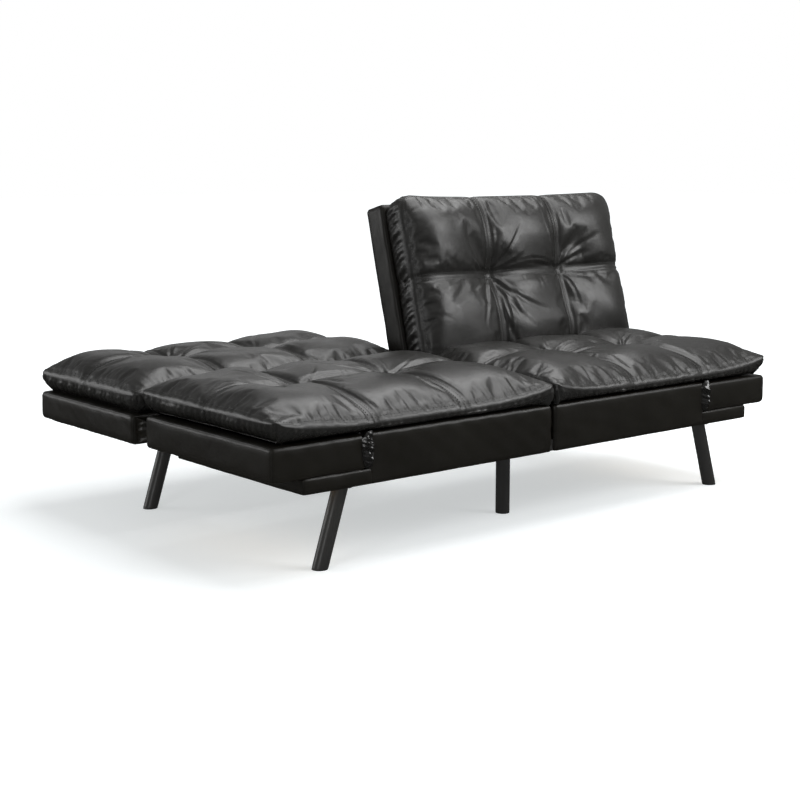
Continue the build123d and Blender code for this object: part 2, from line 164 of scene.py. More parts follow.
def tint(tree, factor, dark, light):
    """Mix two colours by a texture value."""
    node = add_node(tree, "ShaderNodeMix", data_type="RGBA")
    node.inputs["A"].default_value = (*dark, 1)
    node.inputs["B"].default_value = (*light, 1)
    tree.links.new(factor, node.inputs["Factor"])
    return node.outputs["Result"]


def bump(tree, height, strength, distance, under=None):
    node = add_node(tree, "ShaderNodeBump", Strength=strength, Distance=distance)
    tree.links.new(height, node.inputs["Height"])
    if under is not None:
        tree.links.new(under, node.inputs["Normal"])
    return node.outputs["Normal"]


def leather(name, dark, light, rough_low, rough_high, specular, pebble):
    """Coated faux leather: fine pebble grain, soft creasing and uneven sheen."""
    material, tree, shader = new_material(name, dark, rough_low, specular=specular)
    place = add_node(tree, "ShaderNodeTexCoord").outputs["Object"]
    grain = add_node(tree, "ShaderNodeTexVoronoi", Scale=620.0, Randomness=1.0)
    grain.feature = "DISTANCE_TO_EDGE"
    cloud = add_node(tree, "ShaderNodeTexNoise", Scale=9.0, Detail=5.0, Roughness=0.6)
    crease = add_node(tree, "ShaderNodeTexNoise", Scale=55.0, Detail=6.0, Roughness=0.65)
    crease.inputs["Distortion"].default_value = 0.6
    for texture in (grain, cloud, crease):
        tree.links.new(place, texture.inputs["Vector"])
    colour = tint(tree, ramp(tree, cloud.outputs["Fac"], 0.35, 0.7, 0, 1), dark, light)
    tree.links.new(colour, shader.inputs["Base Color"])
    rough = ramp(tree, crease.outputs["Fac"], 0.3, 0.7, rough_low, rough_high)
    tree.links.new(rough, shader.inputs["Roughness"])
    soft = bump(tree, crease.outputs["Fac"], 0.25, 0.0012)
    fine = bump(tree, grain.outputs["Distance"], pebble, 0.0004, soft)
    tree.links.new(fine, shader.inputs["Normal"])
    return material


def metal(name, colour, roughness, metallic, scratch):
    """Painted or plated steel, or plastic: a faint orange-peel and wear in its gloss."""
    material, tree, shader = new_material(name, colour, roughness, metallic)
    place = add_node(tree, "ShaderNodeTexCoord").outputs["Object"]
    peel = add_node(tree, "ShaderNodeTexNoise", Scale=420.0, Detail=3.0)
    wear = add_node(tree, "ShaderNodeTexNoise", Scale=24.0, Detail=8.0, Roughness=0.7)
    for texture in (peel, wear):
        tree.links.new(place, texture.inputs["Vector"])
    rough = ramp(tree, wear.outputs["Fac"], 0.3, 0.75, roughness - scratch, roughness + scratch)
    tree.links.new(rough, shader.inputs["Roughness"])
    tree.links.new(bump(tree, peel.outputs["Fac"], 0.12, 0.0003), shader.inputs["Normal"])
    return material


def wood(name):
    """Plain softwood boards with stretched growth rings."""
    material, tree, shader = new_material(name, (0.5, 0.34, 0.19), 0.65)
    place = add_node(tree, "ShaderNodeTexCoord").outputs["Object"]
    stretch = add_node(tree, "ShaderNodeMapping")
    stretch.inputs["Scale"].default_value = (1.2, 9.0, 9.0)
    rings = add_node(tree, "ShaderNodeTexWave", Scale=6.0, Distortion=7.0, Detail=3.0)
    tree.links.new(place, stretch.inputs["Vector"])
    tree.links.new(stretch.outputs["Vector"], rings.inputs["Vector"])
    colour = tint(tree, rings.outputs["Fac"], (0.42, 0.27, 0.14), (0.62, 0.45, 0.27))
    tree.links.new(colour, shader.inputs["Base Color"])
    tree.links.new(bump(tree, rings.outputs["Fac"], 0.2, 0.0005), shader.inputs["Normal"])
    return material


def cloth(name, dark, light, threads):
    """Plain woven or bonded cloth."""
    material, tree, shader = new_material(name, dark, 0.92, specular=0.2)
    place = add_node(tree, "ShaderNodeTexCoord").outputs["Object"]
    weave = add_node(tree, "ShaderNodeTexVoronoi", Scale=threads)
    tree.links.new(place, weave.inputs["Vector"])
    colour = tint(tree, weave.outputs["Distance"], dark, light)
    tree.links.new(colour, shader.inputs["Base Color"])
    tree.links.new(bump(tree, weave.outputs["Distance"], 0.4, 0.0006), shader.inputs["Normal"])
    return material


# One black faux leather in two copies: the pads' copy is lighter, and the boxes' copy is darker and browner, which
# is painted shade on the upholstered boxes.
PAD_LEATHER = leather("pad_leather", (0.0084, 0.008, 0.007), (0.0128, 0.0123, 0.011),
                      rough_low=0.32, rough_high=0.42, specular=0.5, pebble=0.3)
SHADED_BOX_LEATHER = leather("box_leather_painted_shade", (0.0056, 0.0048, 0.0032), (0.0078, 0.0068, 0.0048),
                      rough_low=0.32, rough_high=0.44, specular=0.3, pebble=0.35)
GLOSS_LEATHER = leather("gusset_leather", (0.004, 0.0038, 0.0034), (0.006, 0.0057, 0.005),
                        rough_low=0.16, rough_high=0.25, specular=0.6, pebble=0.15)
THREAD, _, _ = new_material("thread", (0.045, 0.045, 0.043), 0.5)
STEEL_BLACK = metal("satin_black_paint", (0.022, 0.0212, 0.02), 0.36, metallic=0.0, scratch=0.07)
STEEL_ZINC = metal("zinc_plate", (0.52, 0.52, 0.54), 0.36, metallic=1.0, scratch=0.1)
PLASTIC = metal("black_plastic", (0.016, 0.016, 0.016), 0.55, metallic=0.0, scratch=0.08)
WOOD = wood("softwood")
FOAM = cloth("foam", (0.62, 0.56, 0.38), (0.75, 0.7, 0.52), 900.0)
DUST_CLOTH = cloth("dust_cloth", (0.01, 0.01, 0.01), (0.022, 0.022, 0.022), 1200.0)

SLOT_MATERIALS = {
    "black_faux_leather": SHADED_BOX_LEATHER,
    "satin_black_steel": STEEL_BLACK,
    "zinc_steel": STEEL_ZINC,
    "wood": WOOD,
    "foam": FOAM,
    "dust_cloth": DUST_CLOTH,
    "black_plastic": PLASTIC,
}


def finish_cad_nodes():
    """Give every carried-over CAD node the material of its slot."""
    for part in frame["record"]["subparts"]:
        mesh = frame["nodes"][part["node"]].data
        mesh.materials.clear()
        mesh.materials.append(SLOT_MATERIALS[part["material_slot"]])


# ---------------------------------------------------------------- upholstered boxes
def steps_along(low, high, radius, step):
    """Grid lines along one side of a box, close together round its edges."""
    bend = radius * (1 - np.cos(np.linspace(0, np.pi / 2, 5)))
    spans = max(2, round((high - low - 2 * radius) / step))
    middle = np.linspace(low + radius, high - radius, spans + 1)
    return np.concatenate([low + bend[:-1], middle, (high - bend[:-1])[::-1]])


def box_grid(low, high, radius, step):
    """Points and faces of a box with round edges; every face keeps its place in the grid."""
    lines = [steps_along(low[k], high[k], radius, step) for k in range(3)]
    ends = [len(line) - 1 for line in lines]
    index, points, faces = {}, [], []

    def vertex(spot):
        if spot not in index:
            index[spot] = len(points)
            points.append([lines[k][spot[k]] for k in range(3)])
        return index[spot]

    for fixed in range(3):
        u, v = [k for k in range(3) if k != fixed]
        for end in (0, ends[fixed]):
            for i in range(ends[u]):
                for j in range(ends[v]):
                    corners = []
                    for du, dv in ((0, 0), (1, 0), (1, 1), (0, 1)):
                        spot = [0, 0, 0]
                        spot[fixed], spot[u], spot[v] = end, i + du, j + dv
                        corners.append(vertex(tuple(spot)))
                    outward = (end > 0) == (fixed != 1)
                    faces.append(corners if outward else corners[::-1])
    return np.array(points), faces


def round_points(points, low, high, radius):
    """Pull a box's points onto its rounded edges and corners."""
    inner = np.clip(points, np.array(low) + radius, np.array(high) - radius)
    away = points - inner
    size = np.abs(away).max(1, keepdims=True)
    length = np.linalg.norm(away, axis=1, keepdims=True)
    outward = np.where(length > 0, away / np.maximum(length, 1e-9), 0)
    return inner + outward * size, outward


def soft_box(name, low, high, radius=0.011, step=0.011, puff=0.0016, seed=1, open_below=False):
    """An upholstered box: round edges, a slight swell on each side and drawn-in corners."""
    rng = np.random.default_rng(seed)
    low, high = np.array(low), np.array(high)
    rim = low[2]
    if open_below:
        low[2] -= radius
    points, faces = box_grid(low, high, radius, step)
    points, outward = round_points(points, low, high, radius)
    share = (points - (low + high) / 2) / ((high - low) / 2)
    swell = np.ones(len(points))
    for k in range(3):
        swell *= np.where(np.abs(outward[:, k]) > 0.7, 1, 1 - np.clip(share[:, k], -1, 1) ** 4)
    ripple = flow(points[:, 0] + points[:, 2], points[:, 1] - points[:, 2], rng, 0.05, 0.2)
    points += outward * ((puff * (swell - 0.3)) + 0.0006 * ripple)[:, None]
    corner = np.sort(1 - np.abs(share), axis=1)[:, 1]
    pucker = np.exp(-corner / 0.05) * waves(points.sum(1), rng, 0.011, 0.022)
    points += outward * (0.0007 * pucker)[:, None]
    if open_below:
        points[:, 2] = np.maximum(points[:, 2], rim)
        underside = points[:, 2] < rim + 1e-4
        faces = [face for face in faces if not all(underside[list(face)])]
    box = make_object(name, points, faces)
    if open_below:
        shell = box.modifiers.new("Shell", "SOLIDIFY")
        shell.thickness = 0.003
        shell.offset = -1
        apply_modifiers(box)
    # The boxes take the darker copy of the leather: painted shade.
    box.data.materials.append(SHADED_BOX_LEATHER)
    return box


def finish_piece(piece, slot, *replaced):
    if replaced:
        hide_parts(*replaced)
    return piece


def grown(low, high, amount):
    """A casing's box with the thickness of its wadding added."""
    swell = Vector((amount, amount, amount))
    return Vector(low) - swell, Vector(high) + swell


def mirrored(low, high, side):
    """A right-hand box, or the same one on the left."""
    if SIDES[side] > 0:
        return Vector(low), Vector(high)
    return Vector((-high[0], low[1], low[2])), Vector((-low[0], high[1], high[2]))


def turn_back(piece, side):
    """A back piece drawn lying flat on the right, put on its side."""
    if side == "left":
        piece.data.transform(Matrix.Scale(-1, 4, (1, 0, 0)))
        piece.data.flip_normals()
        return
    turn = Matrix.Translation(HINGE) @ Matrix.Rotation(UPRIGHT, 4, "X") @ Matrix.Translation(-HINGE)
    piece.data.transform(turn)


def flap(name, width, height, point, seed, material, rows=26, columns=44):
    """A thin leather strip; point(u, v, crumple) gives its surface."""
    rng = np.random.default_rng(seed)
    u, v = np.meshgrid(np.linspace(0, 1, rows), np.linspace(0, 1, columns), indexing="ij")
    crumple = flow(u * width, v * height, rng, 0.018, 0.05)
    crumple += 0.5 * waves(v * height + 0.4 * u * width, rng, 0.012, 0.026, 3)
    surface = np.stack(point(u, v, crumple), -1)
    piece = make_object(name, surface.reshape(-1, 3), grid_faces(rows, columns))
    thick = piece.modifiers.new("Thick", "SOLIDIFY")
    thick.thickness = 0.0016
    apply_modifiers(piece)
    piece.data.materials.append(material)
    return piece


def build_gussets(side):
    """Folded leather over the arm hinge at the front, and a loose flap in front of the back."""
    sign = SIDES[side]
    front = SEAT_LOW[1] - WADDING
    high = 0.09

    def over_hinge(u, v, crumple):
        round_ends = np.clip(np.sin(np.pi * (0.06 + 0.88 * v)), 0, 1) ** 0.4
        bulge = np.sin(np.pi * u) ** 0.7 * round_ends
        wide = 0.02 + 0.022 * np.sin(np.pi * v) ** 0.7
        wander = 0.0025 * waves(v, np.random.default_rng(5), 0.3, 0.7)
        x = sign * ARM_AXIS[0] + (u - 0.5) * wide + wander
        y = front + WADDING - 0.015 * bulge - 0.0045 * crumple * bulge
        return x, y, ARM_LOW[2] + 0.002 + v * high

    seed = 31 if side == "left" else 32
    hinge_flap = flap(f"{side}_hinge_gusset", 0.034, high, over_hinge, seed, GLOSS_LEATHER)
    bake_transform(hinge_flap)
    finish_piece(hinge_flap, "black_faux_leather")

    def in_gap(u, v, crumple):
        loose = 1 - u
        narrow = 0.016 * loose**1.5
        y = BACK_LOW[1] + 0.012 - loose * (BACK_LOW[1] - 0.002 - SEAT_HIGH[1])
        x = ARM_HIGH[0] - 0.006 - 0.024 * loose**1.4 + 0.0012 * crumple * np.sin(np.pi * u)
        tall = BACK_HIGH[2] - BACK_LOW[2] - 0.004 - 2 * narrow
        return x, y, BACK_LOW[2] + 0.001 + narrow + v * tall

    gap_flap = flap(f"{side}_gap_gusset", 0.08, 0.07, in_gap, 33, SHADED_BOX_LEATHER)
    turn_back(gap_flap, side)
    finish_piece(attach(gap_flap, f"{side}_back"), "black_faux_leather")


def build_boxes(side):
    """The soft skins of a seat box, arm panel, back and ledge."""
    seed = 10 if side == "left" else 20
    low, high = grown(*mirrored(SEAT_LOW, SEAT_HIGH, side), WADDING)
    low[2] += WADDING
    seat = soft_box(f"{side}_seat_box", low, high, seed=seed, open_below=True)
    finish_piece(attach(seat, "base"), "black_faux_leather", f"{side}_seat_casing")
    low, high = grown(*mirrored(ARM_LOW, ARM_HIGH, side), WADDING)
    high[1] += ARM_REAR_SWELL
    arm = soft_box(f"{side}_arm_box", low, high, seed=seed + 1)
    finish_piece(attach(arm, f"{side}_arm"), "black_faux_leather", f"{side}_arm_casing")
    low = Vector((-BACK_HIGH[0], BACK_LOW[1], BACK_LOW[2]))
    high = Vector((-BACK_LOW[0], BACK_HIGH[1], BACK_HIGH[2]))
    low, high = grown(low, high, BACK_WADDING)
    back = soft_box(f"{side}_back_box", low, high, radius=0.014, seed=seed + 2)
    turn_back(back, side)
    finish_piece(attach(back, f"{side}_back"), "black_faux_leather", f"{side}_back_casing")
    low, high = grown(*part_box(f"{side}_ledge_cover"), WADDING)
    low[2] += WADDING
    high[2] -= WADDING
    if SIDES[side] > 0:
        low[0] -= LEDGE_INTO_SEAT
    else:
        high[0] += LEDGE_INTO_SEAT
    ledge = soft_box(f"{side}_ledge", low, high, radius=0.007, seed=seed + 3, open_below=True)
    finish_piece(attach(ledge, "base"), "black_faux_leather", f"{side}_ledge_cover")


# ---------------------------------------------------------------- tufted pads
GRID = 0.0048
EDGE_BEND = 0.03
COLUMNS = (0.317, 0.615)
BORDER_HIGH = 0.045
TUCK = 0.034
BORDER_ROWS = 10
SEAM_SAG = 0.16
TUFT_SINK, TUFT_REACH = 0.02, 0.09
CLOTH_FRAMES = 16
CLOTH_LIMIT = 0.0075
THREAD_PITCH = 0.0085
THREAD_OFF_SEAM = 0.0075
THREAD_OFF_EDGE = 0.0085
THREAD_END_GAP = 0.012
THREAD_RINGS = ((-0.0004, 0.0003), (0.0004, 0.0007), (0.0004, 0.0007), (-0.0004, 0.0003))
THREAD_SIDES = 5


def shoulder(near, edge, power=2.0):
    """A round rise from 0 at an edge to 1 inside it."""
    inside = np.clip(near / edge, 0, 1)
    return (1 - (1 - inside) ** 2) ** (1 / power)


def pillow(near, wide):
    """Rise of a stuffed pad from its sewn edge: a quick roll, then a long gentle crown."""
    swell = np.sin(np.pi / 2 * np.clip(near / wide, 0, 1))
    return 0.2 * shoulder(near, 0.024) + 0.42 * shoulder(near, 0.11) + 0.38 * swell


def odd(count):
    """The next odd number, so that a grid can be halved."""
    return int(count) // 2 * 2 + 1


def pad_lines(length, seams):
    """Grid lines from edge to edge: close at both edges and on each seam."""
    bend = EDGE_BEND * (1 - np.cos(np.linspace(0, np.pi / 2, 9)))
    count = odd((length - 2 * EDGE_BEND) / GRID)
    middle = np.linspace(EDGE_BEND, length - EDGE_BEND, count)
    lines = np.concatenate([bend[:-1], middle, (length - bend[:-1])[::-1]])
    for seam in seams:
        nearest = np.abs(lines[::2] - seam).argmin() * 2
        lines[nearest] = seam
    return lines


def halved_mean(values, axis):
    """Fill the odd rows of a grid with the mean of their even neighbours."""
    values = np.moveaxis(values, axis, 0)
    full = np.empty((len(values) * 2 - 1, *values.shape[1:]))
    full[::2] = values
    full[1::2] = (values[1:] + values[:-1]) / 2
    return np.moveaxis(full, 0, axis)


class Pad:
    """A tufted pillow-top pad; its plan runs from (0, 0) to (length, depth)."""

    def __init__(self, length, depth, row, crown, seed, front_drop=0.0, corner=0.022,
                 inner_lift=0.0, swell=0.2):
        self.length, self.depth = length, depth
        self.columns, self.row = COLUMNS, row
        self.crown, self.front_drop, self.inner_lift = crown, front_drop, inner_lift
        self.corner = corner
        self.rng = np.random.default_rng(seed)
        s_lines, t_lines = pad_lines(length, COLUMNS), pad_lines(depth, [row])
        self.s, self.t = np.meshgrid(s_lines, t_lines, indexing="ij")
        self.near_s = np.minimum(self.s, length - self.s)
        self.near_t = np.minimum(self.t, depth - self.t)
        self.rise = pillow(self.near_s, swell) * pillow(self.near_t, swell)
        x, y = self.plan(self.s, self.t)
        self.top = np.stack([x, y, self.height()], -1)

    def seam_height(self):
        """Height of the sewn edge: lower along the middle of the front, lifted at the corners."""
        across = np.abs(2 * self.s / self.length - 1)
        front = np.clip(1 - self.t / (0.5 * self.depth), 0, 1)
        corner = np.exp(-np.hypot(self.near_s, self.near_t) / 0.05)
        sag = self.front_drop * front**1.5 * (1 - across**4)
        inner = np.exp(-((self.s / 0.1) ** 2))
        return BORDER_HIGH - sag + 0.012 * corner + self.inner_lift * inner

    def height(self):
        """Height of the top above the pad's underside, without its folds."""
        sunk = self.sunk(self.t - self.row)
        for column in self.columns:
            sunk = sunk + self.sunk(self.s - column)
        tufts = np.zeros_like(self.s)
        for column in self.columns:
            reach = np.hypot(self.s - column, self.t - self.row)
            tufts += TUFT_SINK * np.exp(-reach / TUFT_REACH)
        uneven = 0.0035 * flow(self.s, self.t, self.rng, 0.14, 0.35)
        swell = self.crown * (1 - SEAM_SAG * sunk) - tufts + uneven
        return self.seam_height() + self.rise * swell

    @staticmethod
    def sunk(off):
        """How far a sewn seam pulls the top down beside it."""
        return np.exp(-np.maximum(np.abs(off) - 0.008, 0) / 0.06)

    def off_seams(self, band, wide):
        """0 on the seams' bands, rising to 1 away from them."""
        free = np.ones_like(self.s)
        for off in [self.t - self.row] + [self.s - column for column in self.columns]:
            free = np.minimum(free, np.clip((np.abs(off) - band) / wide, 0, 1))
        return free * free * (3 - 2 * free)

    def plan(self, s, t):
        """Plan position about the centre: pinched corners, sides drawn in, seams nipped."""
        hx, hy, corner = self.length / 2, self.depth / 2, self.corner
        x, y = s - hx, t - hy
        over_x = np.clip((np.abs(x) - (hx - corner)) / corner, 0, 1)
        over_y = np.clip((np.abs(y) - (hy - corner)) / corner, 0, 1)
        round_x = hx - corner + corner * over_x * np.sqrt(1 - over_y**2 / 2)
        round_y = hy - corner + corner * over_y * np.sqrt(1 - over_x**2 / 2)
        x = np.sign(x) * np.where(over_x > 0, round_x, np.abs(x))
        y = np.sign(y) * np.where(over_y > 0, round_y, np.abs(y))
        bow_x, bow_y = 1 - (x / hx) ** 2, 1 - (y / hy) ** 2
        for column in self.columns:
            bow_x = bow_x + 0.6 * np.exp(-np.abs(s - column) / 0.016)
        bow_y = bow_y + 0.6 * np.exp(-np.abs(t - self.row) / 0.016)
        return x - 0.006 * (x / hx) ** 5 * bow_y, y - 0.006 * (y / hy) ** 5 * bow_x

    # ---- what the stuffing does to the sewn cover
    def inflate(self):
        """Let the cover settle as cloth, sewn fast along its seams, with the stuffing's push."""
        coarse = self.top[::2, ::2]
        rows, columns = coarse.shape[:2]
        sheet = make_object("cloth_trial", coarse.reshape(-1, 3), grid_faces(rows, columns))
        s, t = self.s[::2, ::2], self.t[::2, ::2]
        near = np.minimum(self.near_s, self.near_t)[::2, ::2]
        held = np.maximum(np.abs(t - self.row) < 0.004, near < 0.004)
        for column in self.columns:
            held = np.maximum(held, np.abs(s - column) < 0.004)
        group = sheet.vertex_groups.new(name="sewn")
        group.add([int(n) for n in np.flatnonzero(held.ravel())], 1.0, "REPLACE")
        cloth = sheet.modifiers.new("Cloth", "CLOTH")
        settings = cloth.settings
        settings.quality = 4
        settings.mass = 0.25
        settings.tension_stiffness = settings.compression_stiffness = 22
        settings.shear_stiffness = 8
        settings.bending_stiffness = 1.2
        settings.use_pressure = True
        settings.uniform_pressure_force = 0.7
        settings.shrink_min = settings.shrink_max = -0.014
        settings.vertex_group_mass = "sewn"
        settings.effector_weights.gravity = 0
        scene = bpy.context.scene
        cloth.point_cache.frame_start, cloth.point_cache.frame_end = 1, CLOTH_FRAMES
        for frame_number in range(1, CLOTH_FRAMES + 1):
            scene.frame_set(frame_number)
        graph = bpy.context.evaluated_depsgraph_get()
        after = sheet.evaluated_get(graph).to_mesh()
        moved = np.empty(len(after.vertices) * 3)
        after.vertices.foreach_get("co", moved)
        shift = moved.reshape(coarse.shape) - coarse
        size = np.linalg.norm(shift, axis=-1, keepdims=True)
        shift *= np.minimum(1, CLOTH_LIMIT / np.maximum(size, 1e-9))
        bpy.data.objects.remove(sheet)
        scene.frame_set(1)
        shift = halved_mean(halved_mean(shift, 0), 1)
        self.top = self.top + shift * self.off_seams(0.006, 0.03)[..., None]

    def crease(self, start, heading, bend, long, wide, deep):
        """One leather fold that runs out from a point: a sharp valley beside a soft ridge."""
        ds, dt = self.s - start[0], self.t - start[1]
        along = ds * math.cos(heading) + dt * math.sin(heading)
        off = -ds * math.sin(heading) + dt * math.cos(heading) - bend * along**2 / 2
        far = np.clip(along / long, 0, 1)
        spread = wide * (0.45 + 0.9 * far)
        strength = np.clip(along / 0.012, 0, 1) * (1 - far) ** 0.8 * (along > 0)
        valley = np.exp(-((off / spread) ** 2))
        ridge = np.exp(-(((off - 1.9 * spread) / (1.2 * spread)) ** 2))
        return deep * strength * (0.65 * ridge - valley)

    def fold_tufts(self):
        """Folds that fan out from each tuft, long ones into the cells and short ones between."""
        rng, total = self.rng, np.zeros_like(self.s)
        for column in self.columns:
            for quarter in range(4):
                middle = math.pi / 4 + quarter * math.pi / 2
                for _ in range(4):
                    heading = middle + rng.uniform(-0.66, 0.66)
                    long = rng.uniform(0.07, 0.25)
                    total += self.crease((column, self.row), heading, rng.uniform(-6.5, 6.5), long,
                                         rng.uniform(0.004, 0.0085), rng.uniform(0.0022, 0.0062))
            for heading in np.arange(0, 2 * np.pi, np.pi / 9):
                total += self.crease((column, self.row), heading + rng.uniform(-0.12, 0.12), 0,
                                     rng.uniform(0.03, 0.06), 0.003, 0.0025)
        return total

    def fold_edges(self):
        """Gathers that run in from the sewn edges and out from the seams."""
        rng, total = self.rng, np.zeros_like(self.s)
        for side in range(4):
            run = self.length if side < 2 else self.depth
            inward = (math.pi / 2, -math.pi / 2, 0, math.pi)[side]
            depth = (0.003, 0.0015, 0.0022, 0.0014)[side]
            for place in np.arange(0.03, run - 0.03, 0.03):
                along = place + rng.uniform(-0.014, 0.014)
                start = ((along, 0.004), (along, self.depth - 0.004),
                         (0.004, along), (self.length - 0.004, along))[side]
                total += self.crease(start, inward + rng.uniform(-0.5, 0.5), rng.uniform(-6, 6),
                                     rng.uniform(0.03, 0.1), rng.uniform(0.0035, 0.007),
                                     rng.uniform(0.2, 1) * depth)
        seams = [((0, self.row), self.length, 0)]
        seams += [((column, 0), self.depth, math.pi / 2) for column in self.columns]
        for (s, t), run, way in seams:
            for place in np.arange(0.05, run - 0.05, 0.03):
                along = place + rng.uniform(-0.012, 0.012)
                sign = rng.choice((-1, 1))
                off = way + sign * math.pi / 2
                start = (s + math.cos(way) * along + 0.006 * math.cos(off),
                         t + math.sin(way) * along + 0.006 * math.sin(off))
                total += self.crease(start, off + rng.uniform(-0.6, 0.6), rng.uniform(-8, 8),
                                     rng.uniform(0.02, 0.07), rng.uniform(0.0025, 0.005),
                                     rng.uniform(0.0004, 0.0014))
        return total

    def sew(self):
        """The seams' own relief: a flat felled band between two pulled-in stitch lines."""
        relief = np.zeros_like(self.s)
        for off in [self.t - self.row] + [self.s - column for column in self.columns]:
            relief -= 0.0024 * np.exp(-((off / 0.0026) ** 2))
            relief -= 0.0036 * np.exp(-(((np.abs(off) - 0.011) / 0.0031) ** 2))
        near = np.minimum(self.near_s, self.near_t)
        relief -= 0.0012 * np.exp(-(((near - 0.0085) / 0.0018) ** 2))
        return relief

    def finish_top(self):
        """Lay the folds and the seams' relief on the top, along its normals."""
        gathered = self.fold_tufts() + self.fold_edges()
        relief = gathered * self.off_seams(0.007, 0.009) + self.sew()
        across = np.gradient(self.top, axis=0)
        along = np.gradient(self.top, axis=1)
        normal = np.cross(across, along)
        normal /= np.linalg.norm(normal, axis=-1, keepdims=True)
        edge = np.clip(np.minimum(self.near_s, self.near_t) / 0.01, 0, 1)
        self.top = self.top + normal * (relief * edge)[..., None]

    # ---- mesh
    def at(self, s, t):
        """Point and upward normal of the finished top at plan coordinates."""
        i = np.clip(np.searchsorted(self.s[:, 0], s) - 1, 0, self.s.shape[0] - 2)
        j = np.clip(np.searchsorted(self.t[0], t) - 1, 0, self.s.shape[1] - 2)
        fi = ((s - self.s[i, 0]) / (self.s[i + 1, 0] - self.s[i, 0]))[:, None]
        fj = ((t - self.t[0, j]) / (self.t[0, j + 1] - self.t[0, j]))[:, None]
        a, b = self.top[i, j], self.top[i + 1, j]
        c, d = self.top[i, j + 1], self.top[i + 1, j + 1]
        point = (a * (1 - fi) + b * fi) * (1 - fj) + (c * (1 - fi) + d * fi) * fj
        normal = np.cross(b - a, c - a)
        return point, normal / np.linalg.norm(normal, axis=1, keepdims=True)

    def stitches(self):
        """Short raised threads along every seam and round the edge."""
        runs = []
        gap = THREAD_END_GAP
        for place in (-THREAD_OFF_SEAM, THREAD_OFF_SEAM):
            runs.append(((gap, self.row + place), (self.length - gap, self.row + place)))
            for column in self.columns:
                runs.append(((column + place, gap), (column + place, self.depth - gap)))
        near = THREAD_OFF_EDGE
        far_s, far_t = self.length - near, self.depth - near
        runs += [((near, near), (far_s, near)), ((far_s, near), (far_s, far_t)),
                 ((far_s, far_t), (near, far_t)), ((near, far_t), (near, near))]
        points, faces, sides = [], [], THREAD_SIDES
        for (s0, t0), (s1, t1) in runs:
            count = int(math.hypot(s1 - s0, t1 - t0) / THREAD_PITCH)
            mid = (np.arange(count) + 0.5) / count
            half = 0.34 / count
            ends = []
            for q in (mid - half, mid - half / 2, mid + half / 2, mid + half):
                ends.append(self.at(s0 + (s1 - s0) * q, t0 + (t1 - t0) * q))
            for n in range(count):
                base = len(points)
                way = ends[3][0][n] - ends[0][0][n]
                way /= np.linalg.norm(way)
                for k, (lift, radius) in enumerate(THREAD_RINGS):
                    point, normal = ends[k][0][n], ends[k][1][n]
                    side = np.cross(way, normal)
                    for turn in range(sides):
                        angle = 2 * np.pi * turn / sides
                        up = normal * (lift + radius * math.sin(angle))
                        points.append(point + up + side * radius * math.cos(angle))
                for k in range(len(THREAD_RINGS) - 1):
                    ring = base + sides * k
                    for turn in range(sides):
                        a, b = ring + turn, ring + (turn + 1) % sides
                        faces.append((a, b, b + sides, a + sides))
                last = base + sides * (len(THREAD_RINGS) - 1)
                faces.append(tuple(base + turn for turn in range(sides))[::-1])
                faces.append(tuple(last + turn for turn in range(sides)))
        return points, faces

    def rim(self):
        """Grid indices round the sewn edge, in order."""
        rows, columns = self.s.shape
        ring = [i * columns for i in range(rows)]
        ring += [(rows - 1) * columns + j for j in range(1, columns)]
        ring += [i * columns + columns - 1 for i in range(rows - 2, -1, -1)]
        return ring + list(range(columns - 2, 0, -1))

    def underside(self, ring):
        """Strips from front to rear, so that the underside bends with the fold."""
        rows, columns = self.s.shape
        where = {point: ring[n] for n, point in enumerate(self.rim())}
        near = [where[n * columns] for n in range(rows)]
        far = [where[n * columns + columns - 1] for n in range(rows)]
        first = [where[n] for n in range(columns)]
        last = [where[(rows - 1) * columns + n] for n in range(columns)]
        strips = [(near[n], far[n], far[n + 1], near[n + 1]) for n in range(1, len(near) - 2)]
        strips.append((*first, far[1], near[1]))
        strips.append((near[-2], far[-2], *reversed(last)))
        return strips

    def build(self, name):
        """Top, gathered border, underside and stitching as one piece."""
        self.inflate()
        self.finish_top()
        rows, columns = self.s.shape
        points = [self.top.reshape(-1, 3)]
        faces = grid_faces(rows, columns)
        ring = self.rim()
        base = points[0][ring]
        way = np.roll(base, -3, 0) - np.roll(base, 3, 0)
        outward = np.stack([way[:, 1], -way[:, 0]], 1)
        outward /= np.linalg.norm(outward, axis=1, keepdims=True)
        around = np.cumsum(np.linalg.norm(base - np.roll(base, 1, 0), axis=1))
        broad = folds(around, self.rng, 0.03, 0.07) - 0.5
        fine = folds(around, self.rng, 0.014, 0.03) - 0.5
        slant = 0.25 * waves(around, self.rng, 0.1, 0.3)
        inner = np.exp(-((self.s.ravel()[ring] / 0.03) ** 2))
        tuck = TUCK * (1 - 0.75 * inner)
        previous, total = ring, rows * columns
        for k in range(1, BORDER_ROWS + 1):
            q = k / BORDER_ROWS
            shift = int(round(6 * q))
            bag = math.sin(math.pi * q) ** 0.8
            ruche = np.roll(broad, shift) * 0.009 * bag + np.roll(fine, -shift) * 0.0032 * bag
            nip = -0.0018 * math.exp(-((q - 0.08) / 0.05) ** 2)
            reach = nip - tuck * q**1.7 + 0.003 * bag + ruche
            level = base[:, 2] * (1 - q) + 0.002 * q + 0.003 * slant * bag
            points.append(np.column_stack([base[:, :2] + outward * reach[:, None], level]))
            current = list(range(total, total + len(ring)))
            for n in range(len(ring)):
                after = (n + 1) % len(ring)
                faces.append((previous[n], previous[after], current[after], current[n]))
            previous, total = current, total + len(ring)
        faces += self.underside(previous)
        cover = len(faces)
        thread_points, thread_faces = self.stitches()
        points.append(np.array(thread_points))
        faces += [tuple(total + n for n in face) for face in thread_faces]
        piece = make_object(name, np.concatenate(points), faces)
        piece.data.materials.append(PAD_LEATHER)
        piece.data.materials.append(THREAD)
        slots = np.zeros(len(piece.data.polygons), dtype=np.int32)
        slots[cover:] = 1
        piece.data.polygons.foreach_set("material_index", slots)
        return piece


